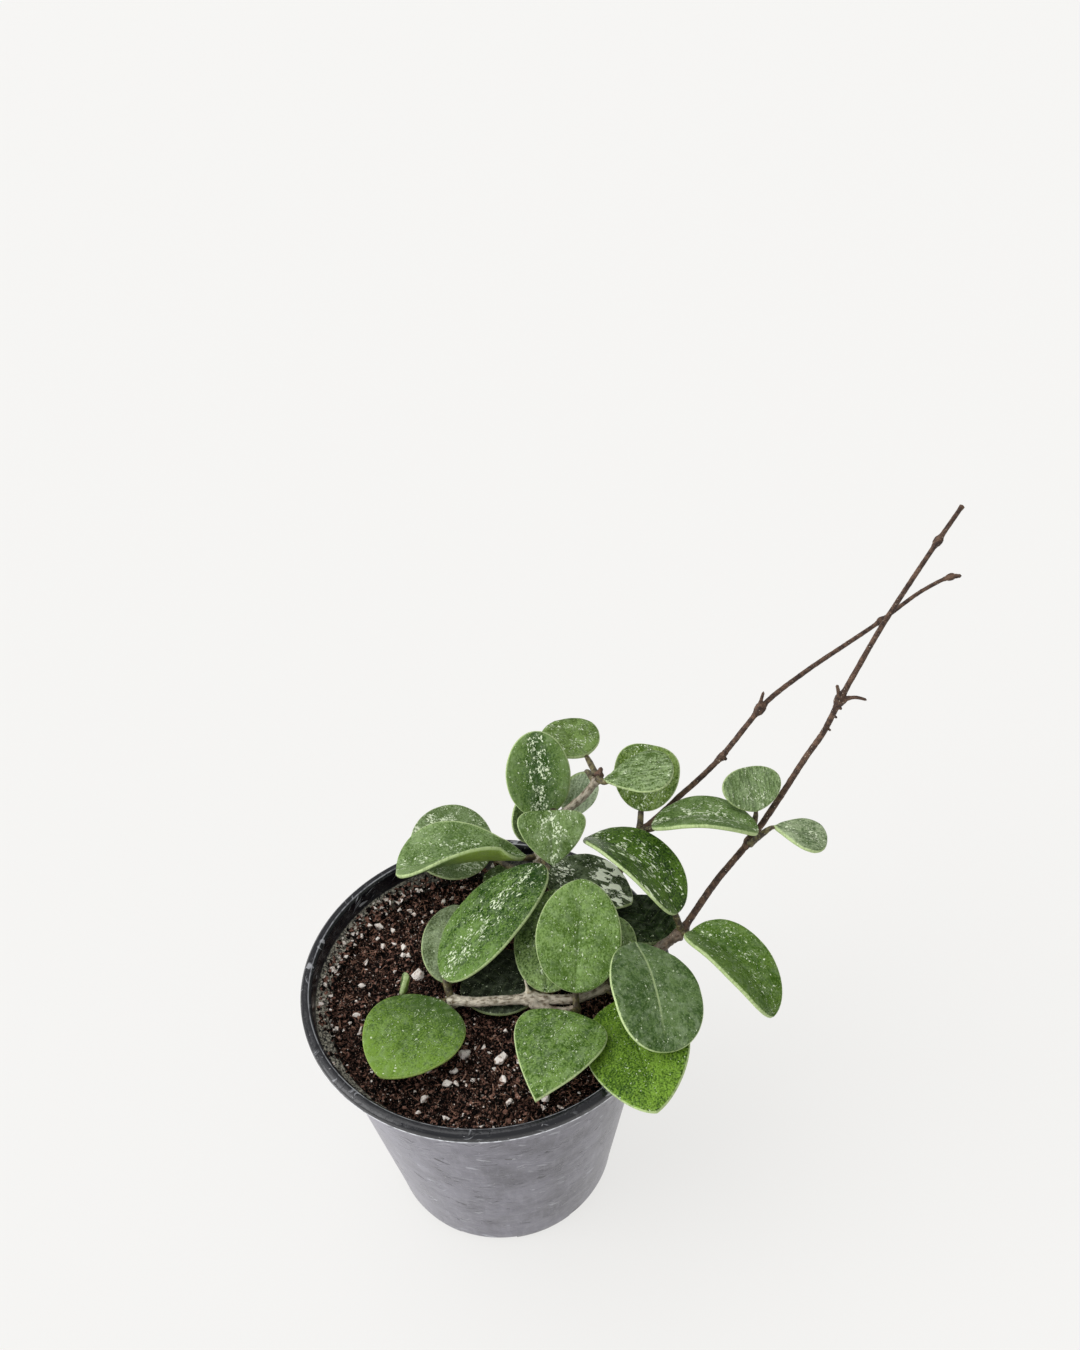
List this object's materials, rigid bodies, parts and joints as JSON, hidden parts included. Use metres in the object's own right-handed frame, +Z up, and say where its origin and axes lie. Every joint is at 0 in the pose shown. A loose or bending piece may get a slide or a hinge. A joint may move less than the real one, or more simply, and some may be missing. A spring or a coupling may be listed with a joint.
{
  "type": "potted hoya plant",
  "caption": "Young hoya with thick speckled oval leaves and long bare vines, growing in soil in a round tapered nursery pot.",
  "frame": {"origin": "centre of the pot's round resting face", "axes": "+Z up along the pot's axis, -Y towards the side the picture shows, +X to the right, where the bare vines reach out"},
  "size_m": [0.2107, 0.145, 0.1869],
  "materials": {
    "leaf": "waxy satin, green with silvery specks",
    "stem": "rough brown bark",
    "soil": "matt peat with white perlite",
    "pot": "semi-gloss dark grey"
  },
  "bodies": {
    "root": {"leaf_top_back": "leaf", "leaf_top_front": "leaf", "leaf_top_falling": "leaf", "leaf_top_hanging": "leaf", "leaf_spoon": "leaf", "leaf_right_upright": "leaf", "leaf_right_arched": "leaf", "leaf_vine_back": "leaf", "leaf_vine_front": "leaf", "leaf_right_glossy": "leaf", "leaf_silver": "leaf", "leaf_centre": "leaf", "leaf_centre_back": "leaf", "leaf_long": "leaf", "leaf_long_back": "leaf", "leaf_on_soil": "leaf", "leaf_low_left": "leaf", "leaf_low_middle": "leaf", "leaf_right_low": "leaf", "leaf_low_bright": "leaf", "leaf_far_right": "leaf", "leaf_dark_back": "leaf", "leaf_sheltered": "leaf", "leaf_left_cupped": "leaf", "leaf_left_round": "leaf", "leaf_left_pale": "leaf", "leaf_behind_left": "leaf", "leaf_low_sprout": "leaf", "stem_long_vine": "stem", "stem_second_vine": "stem", "stem_top_branch": "stem", "soil": "soil", "pot": "pot"}
  },
  "joints": []
}
